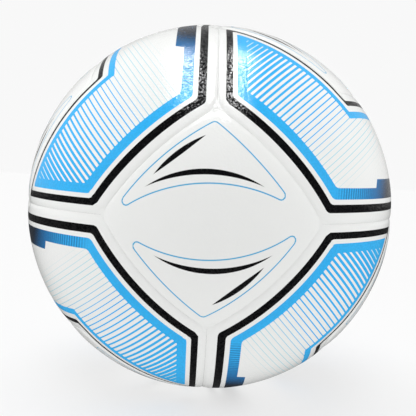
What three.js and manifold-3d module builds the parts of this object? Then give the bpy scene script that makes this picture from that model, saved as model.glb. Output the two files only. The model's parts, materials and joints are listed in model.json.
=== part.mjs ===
// Size 4 futsal ball: ten laminated cover panels on a wound, rubber-coated bladder with a valve.
//
// Units are millimetres. The ball's centre is the origin and +Z is up. The front square panel
// faces -Y with one corner pointing up, and the valve comes out of the back square panel on +Y.
//
// The cover has six equal four-cornered panels ("squares"), one at the front, one at the back and
// four round the sides, and four S-shaped panels ("strips") that each run from the front square
// to the back square between two side squares. The side squares are turned about their own
// centres, so that a straight seam joins each front corner to a corner of a side square. A half
// turn about the middle of a strip maps the whole cover onto itself.
import * as THREE from 'three';
import { mergeVertices } from 'three/addons/utils/BufferGeometryUtils.js';
import Module from 'manifold-3d';

// ---- Driving dimensions -------------------------------------------------------------------
const circumference = 630;
const ballRadius = circumference / (2 * Math.PI);

const degree = Math.PI / 180;
const squareCornerAngle = 31 * degree;   // from a square's centre to its corner
const sideSquareTurn = 59 * degree;      // how far a side square is turned about its centre
const seamBulge = 1.0 * degree;          // how far a square's edge bows past a straight seam

const seamGap = 0.3;                     // between two cover panels
const grooveDepth = 1.0;                 // how far a panel's rim is pressed down at the seam
const grooveWidth = 3.4;                 // from the seam to where the panel is at full height

const coverThickness = 1.2;
const foamThickness = 2.4;
const foamInset = 3.8;                   // from the seam to the foam's skived edge
const carcassThickness = 1.2;
const windingThickness = 0.6;
const bladderThickness = 0.8;
const layerGap = 0.3;                    // between two bonded layers

const valveHoleRadius = 4.5;             // through every layer
const valveStemRadius = 4.2;
const valveMouthRadius = 3.2;            // the recess that holds the core's head
const valveMouthDepth = 1.4;
const valveBoreRadius = 2.2;
const valveSink = 0.35;                  // the valve's face below the ball's surface
const valveFlangeRadius = 13;
const valveFlangeThickness = 1.2;
const coreHeadRadius = 2.9;
const coreHeadThickness = 1.1;
const coreShankRadius = 1.9;
const coreLength = 9;
const needleGuideRadius = 0.8;
const needleGuideDepth = 5;

const balancePatchRadius = 14;
const balancePatchThickness = 1.4;

const coverCells = 6;                    // facets across a cover panel, between its two rims
const coverRowCells = [5, 5, 3, 3, 3, 5, 5];   // facet rows in each seventh of a strip's length
const foamCells = 4;
const foamRowCells = [3, 3, 2, 2, 2, 3, 3];
const shellTurns = 20;                   // facets round an inner shell or the valve
const shellArcSteps = 9;                 // facets from the valve's flange to the balance patch
const capArcSteps = 3;                   // facets from the middle of a flange or patch to its rim
const coverSag = 0.6;                    // how far a cover's facets dip inside its sphere
const foamSag = 1.0;                     // and a foam's, which are larger

// ---- Radii, from the outside in -----------------------------------------------------------
const foamOuter = ballRadius - coverThickness - coverSag - layerGap;
const foamInner = foamOuter - foamThickness;
const carcassOuter = foamInner - foamSag - layerGap;
const carcassInner = carcassOuter - carcassThickness;
const windingOuter = carcassInner - layerGap;
const windingInner = windingOuter - windingThickness;
const bladderOuter = windingInner - layerGap;
const bladderInner = bladderOuter - bladderThickness;
const insideBladder = bladderInner - 2 * layerGap;
const valveFace = ballRadius - valveSink;

// ---- Materials ----------------------------------------------------------------------------
function paint(color, roughness) {
  return new THREE.MeshStandardMaterial({ color, roughness, metalness: 0 });
}
const squareCoverPaint = paint(0xeeefec, 0.32);
const stripCoverPaint = paint(0x5ab4f0, 0.32);
const foamPaint = paint(0xd8d4c8, 0.95);
const carcassPaint = paint(0x2a2a2c, 0.8);
const windingPaint = paint(0xe2ddd0, 0.85);
const bladderPaint = paint(0x1c1c1e, 0.55);
const valvePaint = paint(0x18181a, 0.6);
const patchPaint = paint(0x6a3a2c, 0.7);

// ---- Directions on the unit sphere --------------------------------------------------------
const quarterTurn = Math.PI / 2;
const frontAxis = new THREE.Vector3(0, -1, 0);
const upAxis = new THREE.Vector3(0, 0, 1);

function turned(vector, axis, angle) {
  return vector.clone().applyAxisAngle(axis, angle);
}

// The direction level with the ball's centre, `angle` anticlockwise from +X as seen in front.
function levelDirection(angle) {
  return new THREE.Vector3(Math.cos(angle), 0, Math.sin(angle));
}

function towardsFraction(from, to, fraction) {
  const angle = from.angleTo(to);
  const a = Math.sin((1 - fraction) * angle) / Math.sin(angle);
  const b = Math.sin(fraction * angle) / Math.sin(angle);
  return from.clone().multiplyScalar(a).addScaledVector(to, b);
}

// ---- Seams --------------------------------------------------------------------------------
// A seam is part of a circle on the sphere: the directions at `angle` from `pole`. `side` is +1
// on a panel that lies inside that circle and -1 on one outside it.

function bowedSeam(from, to, squareCentre, side) {
  const middle = from.clone().add(to).normalize();
  const normal = from.clone().cross(to).normalize();
  if (normal.dot(squareCentre) < 0) normal.negate();
  const rise = Math.atan2(Math.cos(seamBulge) - middle.dot(from), Math.sin(seamBulge));
  const pole = middle.multiplyScalar(Math.cos(rise)).addScaledVector(normal, Math.sin(rise));
  return { pole, angle: pole.angleTo(from), side };
}

function straightSeam(from, to, inside) {
  const pole = from.clone().cross(to).normalize();
  if (pole.dot(inside) < 0) pole.negate();
  return { pole, angle: quarterTurn, side: 1 };
}

function turnedSeam(seam, axis, angle) {
  return { ...seam, pole: turned(seam.pole, axis, angle) };
}

function insetSeam(seam, distance) {
  return { ...seam, angle: seam.angle - seam.side * distance / ballRadius };
}

// Where two seams' circles cross, on the side of `near`.
function crossing(first, second, near) {
  const poleCos = first.pole.dot(second.pole);
  const firstCos = Math.cos(first.angle);
  const secondCos = Math.cos(second.angle);
  const spread = 1 - poleCos * poleCos;
  const a = (firstCos - secondCos * poleCos) / spread;
  const b = (secondCos - firstCos * poleCos) / spread;
  const normal = first.pole.clone().cross(second.pole);
  const reach = Math.sqrt((1 - a * a - b * b - 2 * a * b * poleCos) / spread);
  const base = first.pole.clone().multiplyScalar(a).addScaledVector(second.pole, b);
  const oneSide = base.clone().addScaledVector(normal, reach);
  const otherSide = base.clone().addScaledVector(normal, -reach);
  return oneSide.dot(near) > otherSide.dot(near) ? oneSide : otherSide;
}

// The angle that a point has gone round the seam's circle since `from`.
function sweepAlong(seam, from, point) {
  const a = from.clone().addScaledVector(seam.pole, -from.dot(seam.pole));
  const b = point.clone().addScaledVector(seam.pole, -point.dot(seam.pole));
  return Math.atan2(a.clone().cross(b).dot(seam.pole), a.dot(b));
}

function pointAlong(seam, from, to, fraction) {
  return turned(from, seam.pole, sweepAlong(seam, from, to) * fraction);
}

function distanceToSeam(point, seam, from, to) {
  const share = sweepAlong(seam, from, point) / sweepAlong(seam, from, to);
  const beyondEnds = share < 0 || share > 1;
  const angle = beyondEnds
    ? Math.min(point.angleTo(from), point.angleTo(to))
    : Math.abs(point.angleTo(seam.pole) - seam.angle);
  return angle * ballRadius;
}

// ---- Panel outlines -----------------------------------------------------------------------
// An outline is a ring of seam corners, anticlockwise from outside, with the seams between them:
// seam i runs from corner i to corner i + 1. A piece's own edges lie `inset` inside the seams.

function insetOutline(outline, inset) {
  const edges = outline.seams.map((seam) => insetSeam(seam, inset));
  const corners = outline.seamCorners.map((corner, i) => {
    const edgeBefore = edges[(i + edges.length - 1) % edges.length];
    return crossing(edgeBefore, edges[i], corner);
  });
  return { ...outline, corners, edges };
}

function squareCorners(centre, towards, turn) {
  const start = towards.clone().addScaledVector(centre, -towards.dot(centre)).normalize();
  return [0, 1, 2, 3].map((i) => {
    const heading = turned(start, centre, turn + i * quarterTurn);
    return centre.clone().multiplyScalar(Math.cos(squareCornerAngle))
      .addScaledVector(heading, Math.sin(squareCornerAngle));
  });
}

// A side square's centre lies this far round from the front corner that it is joined to.
const cornerLead = Math.atan(Math.tan(squareCornerAngle) * Math.sin(sideSquareTurn));
const stripMiddle = levelDirection(quarterTurn / 2 - cornerLead);
function halfTurned(vector) {
  return turned(vector, stripMiddle, Math.PI);
}

const frontCorners = squareCorners(frontAxis, upAxis, 0);
const backAxis = halfTurned(frontAxis);
const backCorners = squareCorners(backAxis, halfTurned(upAxis), 0);
const sideCentre = levelDirection(quarterTurn - cornerLead);
const sideCorners = squareCorners(sideCentre, frontAxis, -sideSquareTurn);

// How a panel's facets are laid out: two opposite chains of corners, with the row at which each
// corner lies, and the seams that close the panel at its first and last row.
const squareChains = {
  near: { corners: [0, 1], seams: [0], rows: [0, 1] },
  far: { corners: [3, 2], seams: [2], rows: [0, 1] },
  firstSeam: 3,
  lastSeam: 1,
};
const stripChains = {
  near: { corners: [0, 1, 2, 3, 4], seams: [0, 1, 2, 3], rows: [0, 3 / 7, 5 / 7, 6 / 7, 1] },
  far: { corners: [9, 8, 7, 6, 5], seams: [8, 7, 6, 5], rows: [0, 1 / 7, 2 / 7, 4 / 7, 1] },
  firstSeam: 9,
  lastSeam: 4,
};

function squareOutline(centre, corners) {
  const seams = corners.map((corner, i) => bowedSeam(corner, corners[(i + 1) % 4], centre, 1));
  return { seamCorners: corners, seams, ...squareChains };
}

// One long side of the first strip, from the front square past a side square to the back square.
// The other side is the same after a half turn.
function stripOutline() {
  const besideCentre = turned(sideCentre, frontAxis, -quarterTurn);
  const beside = sideCorners.map((corner) => turned(corner, frontAxis, -quarterTurn));
  const front = frontCorners[3];
  const back = halfTurned(frontCorners[0]);
  const nextBack = halfTurned(front);
  const oneSide = [front, beside[0], beside[3], beside[2], back];
  const oneSideSeams = [
    straightSeam(front, beside[0], stripMiddle),
    bowedSeam(beside[0], beside[3], besideCentre, -1),
    bowedSeam(beside[3], beside[2], besideCentre, -1),
    straightSeam(beside[2], back, stripMiddle),
    bowedSeam(back, nextBack, backAxis, -1),
  ];
  const otherSide = oneSide.map(halfTurned);
  const otherSideSeams = oneSideSeams.map((seam) => turnedSeam(seam, stripMiddle, Math.PI));
  return {
    seamCorners: [...oneSide, ...otherSide],
    seams: [...oneSideSeams, ...otherSideSeams],
    ...stripChains,
  };
}

// ---- Panel solids -------------------------------------------------------------------------

function chainPoint(outline, chain, row) {
  const last = chain.seams.length - 1;
  const segment = Math.min(chain.rows.findLastIndex((start) => start <= row), last);
  const start = chain.rows[segment];
  const fraction = (row - start) / (chain.rows[segment + 1] - start);
  return pointAlong(
    outline.edges[chain.seams[segment]], outline.corners[chain.corners[segment]],
    outline.corners[chain.corners[segment + 1]], fraction);
}

// A point of the panel: `row` runs along its two chains and `column` from one to the other.
function panelPoint(outline, row, column) {
  const near = chainPoint(outline, outline.near, row);
  const far = chainPoint(outline, outline.far, row);
  const point = towardsFraction(near, far, column);
  for (const [end, weight] of [[0, 1 - row], [1, row]]) {
    const edge = outline.edges[end === 0 ? outline.firstSeam : outline.lastSeam];
    const from = chainPoint(outline, outline.near, end);
    const to = chainPoint(outline, outline.far, end);
    const bow = pointAlong(edge, from, to, column).sub(towardsFraction(from, to, column));
    point.addScaledVector(bow, weight);
  }
  return point.normalize();
}

// How far a cover is pressed in at a point, because of the groove along its seams.
function grooveDrop(outline, point) {
  const distances = outline.seams.map((seam, i) => {
    const next = outline.seamCorners[(i + 1) % outline.seamCorners.length];
    return distanceToSeam(point, seam, outline.seamCorners[i], next);
  });
  const share = Math.min(Math.min(...distances) / grooveWidth, 1);
  return grooveDepth * (1 - share) ** 2;
}

// A closed curved sheet over the outline, of the given outer radius and thickness. `drop` gives
// how far it is pressed in at a direction.
function panelGeometry(outline, rows, columns, outer, thickness, drop) {
  const stride = columns.length;
  const layer = rows.length * stride;
  const directions = rows.flatMap((row) => columns.map((column) => (
    panelPoint(outline, row, column))));
  const drops = directions.map(drop);
  const positions = [outer, outer - thickness].flatMap((radius) => (
    directions.flatMap((point, i) => (
      point.clone().multiplyScalar(radius - drops[i]).toArray()))));

  const triangles = [];
  const addQuad = (a, b, c, d) => triangles.push(a, b, c, a, c, d);
  for (let i = 0; i < rows.length - 1; i += 1) {
    for (let j = 0; j < stride - 1; j += 1) {
      const a = i * stride + j;
      const b = a + stride;
      const c = b + 1;
      const d = a + 1;
      const acIsShorter = directions[a].distanceTo(directions[c])
        < directions[b].distanceTo(directions[d]);
      if (acIsShorter) {
        addQuad(a, b, c, d);
        addQuad(layer + a, layer + d, layer + c, layer + b);
      } else {
        addQuad(b, c, d, a);
        addQuad(layer + b, layer + a, layer + d, layer + c);
      }
    }
  }
  const rim = [];
  for (let i = 0; i < rows.length - 1; i += 1) rim.push(i * stride);
  for (let j = 0; j < stride - 1; j += 1) rim.push((rows.length - 1) * stride + j);
  for (let i = rows.length - 1; i > 0; i -= 1) rim.push(i * stride + stride - 1);
  for (let j = stride - 1; j > 0; j -= 1) rim.push(j);
  rim.forEach((a, i) => {
    const b = rim[(i + 1) % rim.length];
    addQuad(a, layer + a, layer + b, b);
  });

  const geometry = new THREE.BufferGeometry();
  geometry.setAttribute('position', new THREE.Float32BufferAttribute(positions, 3));
  geometry.setIndex(triangles);
  return geometry;
}

// A panel's rows and columns of facets. A cover has one more near each end, for the slope of
// its groove. A strip's rows come in sevenths, because its corners lie at whole sevenths.
function evenSteps(from, to, count) {
  return Array.from({ length: count + 1 }, (_, i) => from + (to - from) * i / count);
}

function seventhSteps(cellCounts) {
  return [...cellCounts.flatMap((count, i) => evenSteps(i / 7, (i + 1) / 7, count).slice(0, -1)), 1];
}

function withRims(steps, rim) {
  return [0, rim, ...steps.slice(1, -1), 1 - rim, 1];
}

const columnRim = 0.05;
const rowRim = 0.02;
const coverColumns = [0, ...evenSteps(columnRim, 1 - columnRim, coverCells), 1];
const coverRows = withRims(seventhSteps(coverRowCells), rowRim);
const foamColumns = evenSteps(0, 1, foamCells);
const foamRows = seventhSteps(foamRowCells);

// ---- Turned solids round the valve's axis ---------------------------------------------------

// Points at a radius from the ball's centre, at angles from the +Y axis.
function arcPoints(radius, angles) {
  return angles.map((angle) => (
    new THREE.Vector2(radius * Math.sin(angle), radius * Math.cos(angle))));
}

function lathe(profile) {
  return new THREE.LatheGeometry([...profile, profile[0]], shellTurns);
}

// A shell's facets have rows just past the valve's flange and just before the balance patch.
const pastFlange = (valveFlangeRadius + 1) / bladderInner;
const beforePatch = Math.PI - (balancePatchRadius + 1) / bladderInner;
function shellArc(radius) {
  const rows = evenSteps(pastFlange, beforePatch, shellArcSteps);
  return arcPoints(radius, [Math.asin(valveHoleRadius / radius), ...rows, Math.PI]);
}

// A hollow sphere, open where the valve passes through it.
function shellGeometry(outer, inner) {
  return lathe([...shellArc(inner), ...shellArc(outer).reverse()]);
}

function balancePatchGeometry() {
  const outer = insideBladder;
  const inner = outer - balancePatchThickness;
  const angles = evenSteps(Math.PI - balancePatchRadius / outer, Math.PI, capArcSteps);
  return lathe([...arcPoints(inner, angles), ...arcPoints(outer, angles).reverse()]);
}

function valveHousingGeometry() {
  const outer = insideBladder;
  const inner = outer - valveFlangeThickness;
  const rim = valveFlangeRadius / outer;
  const mouthFloor = valveFace - valveMouthDepth;
  return lathe([
    ...arcPoints(inner, evenSteps(Math.asin(valveBoreRadius / inner), rim, capArcSteps)),
    ...arcPoints(outer, evenSteps(rim, Math.asin(valveStemRadius / outer), capArcSteps)),
    new THREE.Vector2(valveStemRadius, valveFace),
    new THREE.Vector2(valveMouthRadius, valveFace),
    new THREE.Vector2(valveMouthRadius, mouthFloor),
    new THREE.Vector2(valveBoreRadius, mouthFloor),
  ]);
}

function valveCoreGeometry() {
  return lathe([
    new THREE.Vector2(0, valveFace - coreLength),
    new THREE.Vector2(coreShankRadius, valveFace - coreLength),
    new THREE.Vector2(coreShankRadius, valveFace - coreHeadThickness),
    new THREE.Vector2(coreHeadRadius, valveFace - coreHeadThickness),
    new THREE.Vector2(coreHeadRadius, valveFace),
    new THREE.Vector2(needleGuideRadius, valveFace),
    new THREE.Vector2(needleGuideRadius, valveFace - needleGuideDepth),
    new THREE.Vector2(0, valveFace - needleGuideDepth),
  ]);
}

// ---- The hole in the back panel ------------------------------------------------------------
const wasm = await Module();
wasm.setup();

function toSolid(geometry) {
  const bare = geometry.clone();
  bare.deleteAttribute('normal');
  bare.deleteAttribute('uv');
  const merged = mergeVertices(bare);
  return new wasm.Manifold(new wasm.Mesh({
    numProp: 3,
    vertProperties: merged.attributes.position.array,
    triVerts: new Uint32Array(merged.index.array),
  }));
}

function toGeometry(solid) {
  const mesh = solid.getMesh();
  const geometry = new THREE.BufferGeometry();
  geometry.setAttribute('position', new THREE.BufferAttribute(mesh.vertProperties, 3));
  geometry.setIndex(new THREE.BufferAttribute(mesh.triVerts, 1));
  return geometry;
}

function withValveHole(geometry) {
  const drill = new THREE.CylinderGeometry(
    valveHoleRadius, valveHoleRadius, ballRadius, shellTurns);
  drill.translate(0, ballRadius, 0);
  return toGeometry(toSolid(geometry).subtract(toSolid(drill)));
}

// ---- Assembly -----------------------------------------------------------------------------
const ball = new THREE.Group();

function addPart(name, geometry, material) {
  geometry.computeVertexNormals();
  const mesh = new THREE.Mesh(geometry, material);
  mesh.name = name;
  ball.add(mesh);
  return mesh;
}

function coverGeometry(outline, rows) {
  const drop = (point) => grooveDrop(outline, point);
  const inset = insetOutline(outline, seamGap / 2);
  return panelGeometry(inset, rows, coverColumns, ballRadius, coverThickness, drop);
}

function foamGeometry(outline, rows) {
  const inset = insetOutline(outline, foamInset);
  return panelGeometry(inset, rows, foamColumns, foamOuter, foamThickness, () => 0);
}

// A square and a strip with the foam under each. `place` turns a panel round the front axis.
function addSquare(name, outline, place, finish = (geometry) => geometry) {
  const cover = finish(coverGeometry(outline, coverColumns));
  const foam = finish(foamGeometry(outline, foamColumns));
  addPart(`cover_square_${name}`, cover, squareCoverPaint).setRotationFromAxisAngle(frontAxis, place);
  addPart(`foam_square_${name}`, foam, foamPaint).setRotationFromAxisAngle(frontAxis, place);
}

function addStrip(name, outline, place) {
  const cover = coverGeometry(outline, coverRows);
  const foam = foamGeometry(outline, foamRows);
  addPart(`cover_strip_${name}`, cover, stripCoverPaint).setRotationFromAxisAngle(frontAxis, place);
  addPart(`foam_strip_${name}`, foam, foamPaint).setRotationFromAxisAngle(frontAxis, place);
}

addSquare('front', squareOutline(frontAxis, frontCorners), 0);
addSquare('back', squareOutline(backAxis, backCorners), 0, withValveHole);
['top', 'left', 'bottom', 'right'].forEach((name, i) => {
  addSquare(name, squareOutline(sideCentre, sideCorners), i * quarterTurn);
});
['upper_right', 'upper_left', 'lower_left', 'lower_right'].forEach((name, i) => {
  addStrip(name, stripOutline(), i * quarterTurn);
});

addPart('carcass', shellGeometry(carcassOuter, carcassInner), carcassPaint);
addPart('thread_winding', shellGeometry(windingOuter, windingInner), windingPaint);
addPart('bladder', shellGeometry(bladderOuter, bladderInner), bladderPaint);
addPart('valve_housing', valveHousingGeometry(), valvePaint);
addPart('valve_core', valveCoreGeometry(), valvePaint);
addPart('balance_patch', balancePatchGeometry(), patchPaint);

export default ball;
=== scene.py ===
"""Size 4 futsal ball: a fine closed piece in place of each solid of the CAD frame.

The cover is six square panels and four long strips, each printed and each backed by foam. Under
them lie the carcass, the thread winding, the bladder with its balance patch, and the valve.

Units are metres unless a comment says millimetres. The ball's centre is the origin and +Z is up.
The front square faces -Y and the valve comes out of the back square on +Y. Directions are unit
vectors from the centre, and distances over the cover are angles at the centre until they are
stored on a mesh.
"""
import json
import math

import bpy
import numpy as np
from mathutils import Matrix, Vector


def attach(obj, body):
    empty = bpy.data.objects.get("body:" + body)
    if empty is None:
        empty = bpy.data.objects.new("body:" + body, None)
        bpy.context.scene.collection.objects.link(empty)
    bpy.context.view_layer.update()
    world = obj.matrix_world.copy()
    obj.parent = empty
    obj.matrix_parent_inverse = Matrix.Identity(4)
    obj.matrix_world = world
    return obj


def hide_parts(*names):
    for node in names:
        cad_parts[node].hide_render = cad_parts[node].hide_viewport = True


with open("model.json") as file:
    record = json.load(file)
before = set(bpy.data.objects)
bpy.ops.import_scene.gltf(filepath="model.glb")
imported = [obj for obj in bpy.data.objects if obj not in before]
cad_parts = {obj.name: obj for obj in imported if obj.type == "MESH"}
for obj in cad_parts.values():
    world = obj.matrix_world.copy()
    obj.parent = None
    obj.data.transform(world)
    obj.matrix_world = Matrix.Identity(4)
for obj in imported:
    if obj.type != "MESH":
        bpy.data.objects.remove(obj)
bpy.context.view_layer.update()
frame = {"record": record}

# ---- Driving dimensions ---------------------------------------------------------------------
MM = 0.001
DEGREE = math.pi / 180
MOUNTS = {mount["name"]: mount for mount in frame["record"]["mounts"]}
BALL_RADIUS = -MOUNTS["rest_contact"]["pos_m"][2]

# The layout of the panels.
SQUARE_CORNER_ANGLE = 31 * DEGREE        # from a square's centre to its corner
SIDE_SQUARE_TURN = 59 * DEGREE           # how far a side square is turned about its centre
SEAM_BULGE = 1.0 * DEGREE                # how far a square's edge bows past a straight seam

# The rims of the panels.
SEAM_GAP = 0.05 * MM
GROOVE_DEPTH = 0.42 * MM                 # how far a rim is pressed in, right at its seam
GROOVE_WIDTH = 2.4 * MM
PILLOW_DEPTH = 0.5 * MM                  # how far a panel falls away towards its seams
PILLOW_WIDTH = 14 * MM
CORNER_BLEND = 7 * MM                    # how far a panel's corner is rounded in its relief
COVER_THICKNESS = 1.2 * MM
CELL = 1.3 * MM                          # facets in the middle of a panel
RIM_CELL = 0.3 * MM                      # facets beside a seam
RIM_WIDTH = 2.7 * MM                     # how far in from a seam those reach
SHARP_ANGLE = 50 * DEGREE                # edges that turn more than this aren't shaded smooth

# A strip's mesh follows these rough sizes.
STRIP_WIDTH = 46 * MM
STRIP_SEVENTH = 52 * MM                  # a seventh of its length
STRIP_RIM_STEPS = 7                      # rows of fine facets at each end

# The foam under each panel.
FOAM_DEPTH = 2.1 * MM                    # its outer face under the ball's full radius
FOAM_THICKNESS = 2.4 * MM
FOAM_INSET = 3.8 * MM                    # from the seam to the foam's edge
FOAM_CELL = 1.9 * MM
SKIVE_DEPTH = 1.2 * MM                   # how much thinner the foam is at its edge
SKIVE_WIDTH = 5 * MM

# The print on a strip: how many degrees each line lies from each of its first five seams.
BLACK_EDGE = (2.97, 3.2, 2.1, 2.2, 2.75)
BLACK_INNER = (5.2, 5.0, 3.6, 4.08, 5.06)
BLUE_EDGE = (6.57, 7.0, 5.5, 5.3, 6.43)
BLUE_INNER = (9.67, 9.2, 7.8, 7.9, 9.35)
BLOCK_INNER = (12.2, 12.2, 7.8, 7.9, 9.35)

# ---- Directions -----------------------------------------------------------------------------
FRONT = np.array([0.0, -1.0, 0.0])
UP = np.array([0.0, 0.0, 1.0])
QUARTER_TURN = math.pi / 2


def unit(vectors):
    return vectors / np.linalg.norm(vectors, axis=-1, keepdims=True)


def angle_between(first, second):
    return np.arccos(np.clip(np.sum(first * second, axis=-1), -1, 1))


def turned(vectors, axis, angle):
    """The vectors turned about a unit axis, anticlockwise as seen from its tip."""
    angle = np.asarray(angle)[..., None]
    along = np.sum(vectors * axis, axis=-1, keepdims=True) * axis
    return along + (vectors - along) * np.cos(angle) + np.cross(axis, vectors) * np.sin(angle)


def level_direction(angle):
    """The direction level with the centre, anticlockwise from +X as seen in front."""
    return np.array([math.cos(angle), 0.0, math.sin(angle)])


def front_direction(lean, heading):
    """The direction `lean` away from the front axis, headed anticlockwise from +X."""
    return math.cos(lean) * FRONT + math.sin(lean) * level_direction(heading)


def between(start, end, fraction):
    """Points on the straight line over the ball from start to end."""
    angle = angle_between(start, end)[..., None]
    a = np.sin((1 - fraction) * angle) / np.sin(angle)
    b = np.sin(fraction * angle) / np.sin(angle)
    return start * a + end * b


def spread_flat(points, centre, right, up):
    """Points laid flat round a centre, each at its true distance and heading from it."""
    x, y = points @ right, points @ up
    lean = angle_between(points, centre)
    share = lean / np.maximum(np.hypot(x, y), 1e-9)
    return x * share, y * share


# ---- Seams and outlines ---------------------------------------------------------------------
RING_STEPS = 40                          # straight steps for each seam of a ring


class Seam:
    """Part of a circle on the ball, from start to end: the directions at `angle` from `pole`.
    The panel lies on the pole's side of it."""

    def __init__(self, start, end, pole, angle):
        self.start = start
        self.end = end
        self.pole = pole
        self.angle = angle

    def sweep(self, points):
        """How far round the circle the points are from its start."""
        across = self.start - (self.start @ self.pole) * self.pole
        ahead = np.cross(self.pole, across)
        return np.arctan2(points @ ahead, points @ across)

    def at(self, fractions):
        return turned(self.start, self.pole, fractions * self.sweep(self.end))

    def distance(self, points):
        """How far points are from the seam, on either side of it."""
        share = self.sweep(points) / self.sweep(self.end)
        beside = np.abs(angle_between(points, self.pole) - self.angle)
        past = np.minimum(angle_between(points, self.start), angle_between(points, self.end))
        return np.where((share >= 0) & (share <= 1), beside, past)

    def turned(self, axis, angle):
        start, end, pole = (turned(v, axis, angle) for v in (self.start, self.end, self.pole))
        return Seam(start, end, pole, self.angle)


def bowed_seam(start, end, inside, bow):
    """A seam whose middle lies `bow` past the straight line between its ends, as seen from a
    direction inside the panel."""
    middle = unit(start + end)
    normal = unit(np.cross(start, end))
    if normal @ inside < 0:
        normal = -normal
    rise = math.atan2(math.cos(bow) - middle @ start, math.sin(bow))
    pole = math.cos(rise) * middle + math.sin(rise) * normal
    return Seam(start, end, pole, angle_between(start, pole))


def crossing(first_pole, first_angle, second_pole, second_angle, near):
    """Where two circles cross, on the side of `near`."""
    pole_cos = first_pole @ second_pole
    first_cos, second_cos = math.cos(first_angle), math.cos(second_angle)
    spread = 1 - pole_cos ** 2
    a = (first_cos - second_cos * pole_cos) / spread
    b = (second_cos - first_cos * pole_cos) / spread
    base = a * first_pole + b * second_pole
    reach = math.sqrt((1 - base @ base) / spread)
    lift = reach * np.cross(first_pole, second_pole)
    return base + lift if lift @ near > 0 else base - lift


def inset(outline, distances):
    """The outline with each seam moved into the panel by its own distance."""
    circles = [(seam.pole, seam.angle - gap) for seam, gap in zip(outline, distances)]
    corners = [
        crossing(*circles[i - 1], *circles[i], seam.start) for i, seam in enumerate(outline)
    ]
    return [
        Seam(corner, corners[(i + 1) % len(corners)], *circles[i])
        for i, corner in enumerate(corners)
    ]


def inside_ring(outline, points, centre):
    """Whether each point is inside the outline, tested on a flat map round a centre."""
    right = unit(np.cross(centre, FRONT + 0.3 * UP))
    up = np.cross(right, centre)
    fractions = np.arange(RING_STEPS) / RING_STEPS
    ring = np.concatenate([seam.at(fractions) for seam in outline])
    ring_x, ring_y = spread_flat(ring, centre, right, up)
    x, y = spread_flat(points, centre, right, up)
    inside = np.zeros(len(points), bool)
    for i in range(len(ring_x)):
        x0, y0, x1, y1 = ring_x[i - 1], ring_y[i - 1], ring_x[i], ring_y[i]
        if y0 == y1:
            continue
        spans = (y0 > y) != (y1 > y)
        inside ^= spans & (x < x0 + (x1 - x0) * (y - y0) / (y1 - y0))
    return inside


def depth_inside(outline, points, centre):
    """How far inside the outline each point is; negative outside it."""
    distance = np.min([seam.distance(points) for seam in outline], axis=0)
    return np.where(inside_ring(outline, points, centre), distance, -distance)


# ---- The layout of the cover ----------------------------------------------------------------
def square_corners(centre, towards, turn):
    """A square's corners. The first lies `turn` anticlockwise of the way to `towards`."""
    start = unit(towards - (towards @ centre) * centre)
    headings = [turned(start, centre, turn + i * QUARTER_TURN) for i in range(4)]
    return [
        math.cos(SQUARE_CORNER_ANGLE) * centre + math.sin(SQUARE_CORNER_ANGLE) * heading
        for heading in headings
    ]


# A side square's centre lies this far round from the front corner that it is joined to.
CORNER_LEAD = math.atan(math.tan(SQUARE_CORNER_ANGLE) * math.sin(SIDE_SQUARE_TURN))
STRIP_MIDDLE = level_direction(QUARTER_TURN / 2 - CORNER_LEAD)
SIDE_CENTRE = level_direction(QUARTER_TURN - CORNER_LEAD)


def half_turned(vectors):
    """Turned half round the first strip's middle, which maps the strip and its print onto
    themselves and the front square onto the back one."""
    return turned(vectors, STRIP_MIDDLE, math.pi)


def square_outline():
    corners = square_corners(FRONT, UP, 0)
    return [bowed_seam(corners[i], corners[(i + 1) % 4], FRONT, SEAM_BULGE) for i in range(4)]


def strip_outline():
    """The first strip: one long side and one end, and the same again after a half turn. Its
    seams are the stem, the kink, the long seam, the short seam and the end."""
    beside_centre = turned(SIDE_CENTRE, FRONT, -QUARTER_TURN)
    beside = square_corners(beside_centre, FRONT, -SIDE_SQUARE_TURN)
    front_corners = square_corners(FRONT, UP, 0)
    front = front_corners[3]
    back = half_turned(front_corners[0])
    away = -beside_centre
    one_side = [
        bowed_seam(front, beside[0], STRIP_MIDDLE, 0),
        bowed_seam(beside[0], beside[3], away, -SEAM_BULGE),
        bowed_seam(beside[3], beside[2], away, -SEAM_BULGE),
        bowed_seam(beside[2], back, STRIP_MIDDLE, 0),
        bowed_seam(back, half_turned(front), FRONT, -SEAM_BULGE),
    ]
    return one_side + [seam.turned(STRIP_MIDDLE, math.pi) for seam in one_side]


SQUARE_SEAMS = square_outline()
STRIP_SEAMS = strip_outline()

# Two opposite chains of seams, each with the shares of the panel's length at which its corners
# lie, and then the seams of the first and last rows.
SQUARE_CHAINS = (((0,), (0, 1)), ((2,), (0, 1)), 3, 1)
STRIP_CHAINS = (
    ((0, 1, 2, 3), (0, 3 / 7, 5 / 7, 6 / 7, 1)),
    ((8, 7, 6, 5), (0, 1 / 7, 2 / 7, 4 / 7, 1)),
    9,
    4,
)


# ---- Panel meshes ---------------------------------------------------------------------------
def chain_points(outline, seams, knots, rows, backwards):
    """The points of a chain of seams at the rows, when the seams join at the knots."""
    points = np.zeros((len(rows), 3))
    for number, start, end in zip(seams, knots, knots[1:]):
        chosen = (rows >= start) & (rows <= end)
        fraction = (rows[chosen] - start) / (end - start)
        points[chosen] = outline[number].at(1 - fraction if backwards else fraction)
    return points


def panel_grid(outline, chains, rows, columns):
    """Directions over a panel: rows step along its two chains, and columns from one chain to
    the other."""
    near_chain, far_chain, first, last = chains
    near = chain_points(outline, *near_chain, rows, False)[:, None]
    far = chain_points(outline, *far_chain, rows, True)[:, None]
    grid = between(near, far, columns[None, :, None])
    first_bow = outline[first].at(1 - columns) - grid[0]
    last_bow = outline[last].at(columns) - grid[-1]
    share = rows[:, None, None]
    return unit(grid + (1 - share) * first_bow + share * last_bow)


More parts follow.
